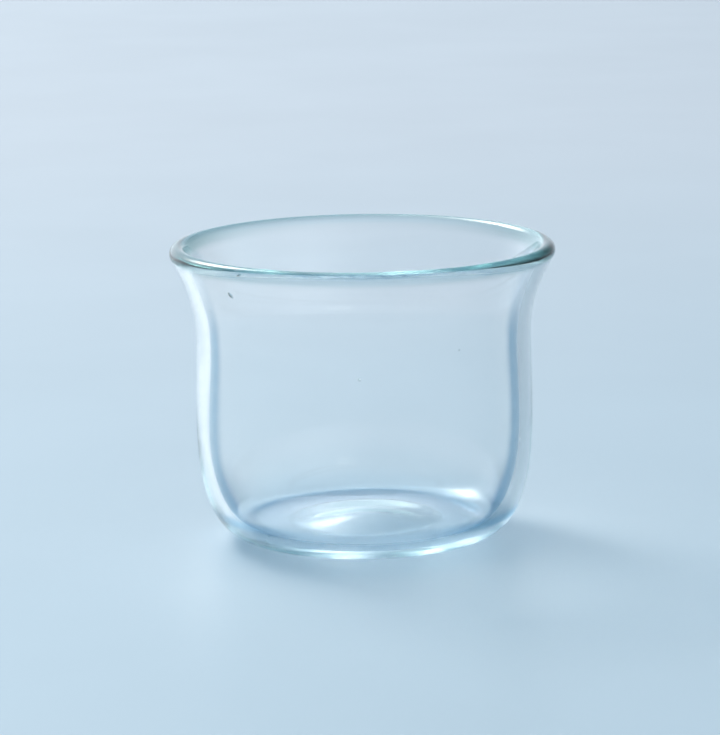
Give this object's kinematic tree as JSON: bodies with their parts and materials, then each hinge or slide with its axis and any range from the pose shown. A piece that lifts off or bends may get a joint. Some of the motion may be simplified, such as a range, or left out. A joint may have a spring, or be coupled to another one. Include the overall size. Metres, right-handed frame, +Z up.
{
  "type": "cortado glass",
  "caption": "Small clear glass for a cortado, with a flared mouth and rounded bead, a near-straight body, a soft heel and a thick floor that rises over a punt.",
  "frame": {"origin": "on the table, at the middle of the foot", "axes": "+Z up along the glass's axis, towards the mouth; X and Y are free, because the glass is round"},
  "size_m": [0.078, 0.078, 0.0605],
  "materials": {
    "glass": "clear, fire-polished, with a faint green-blue tint where the light path through it is long"
  },
  "bodies": {
    "root": {"glass": "glass"}
  },
  "joints": []
}
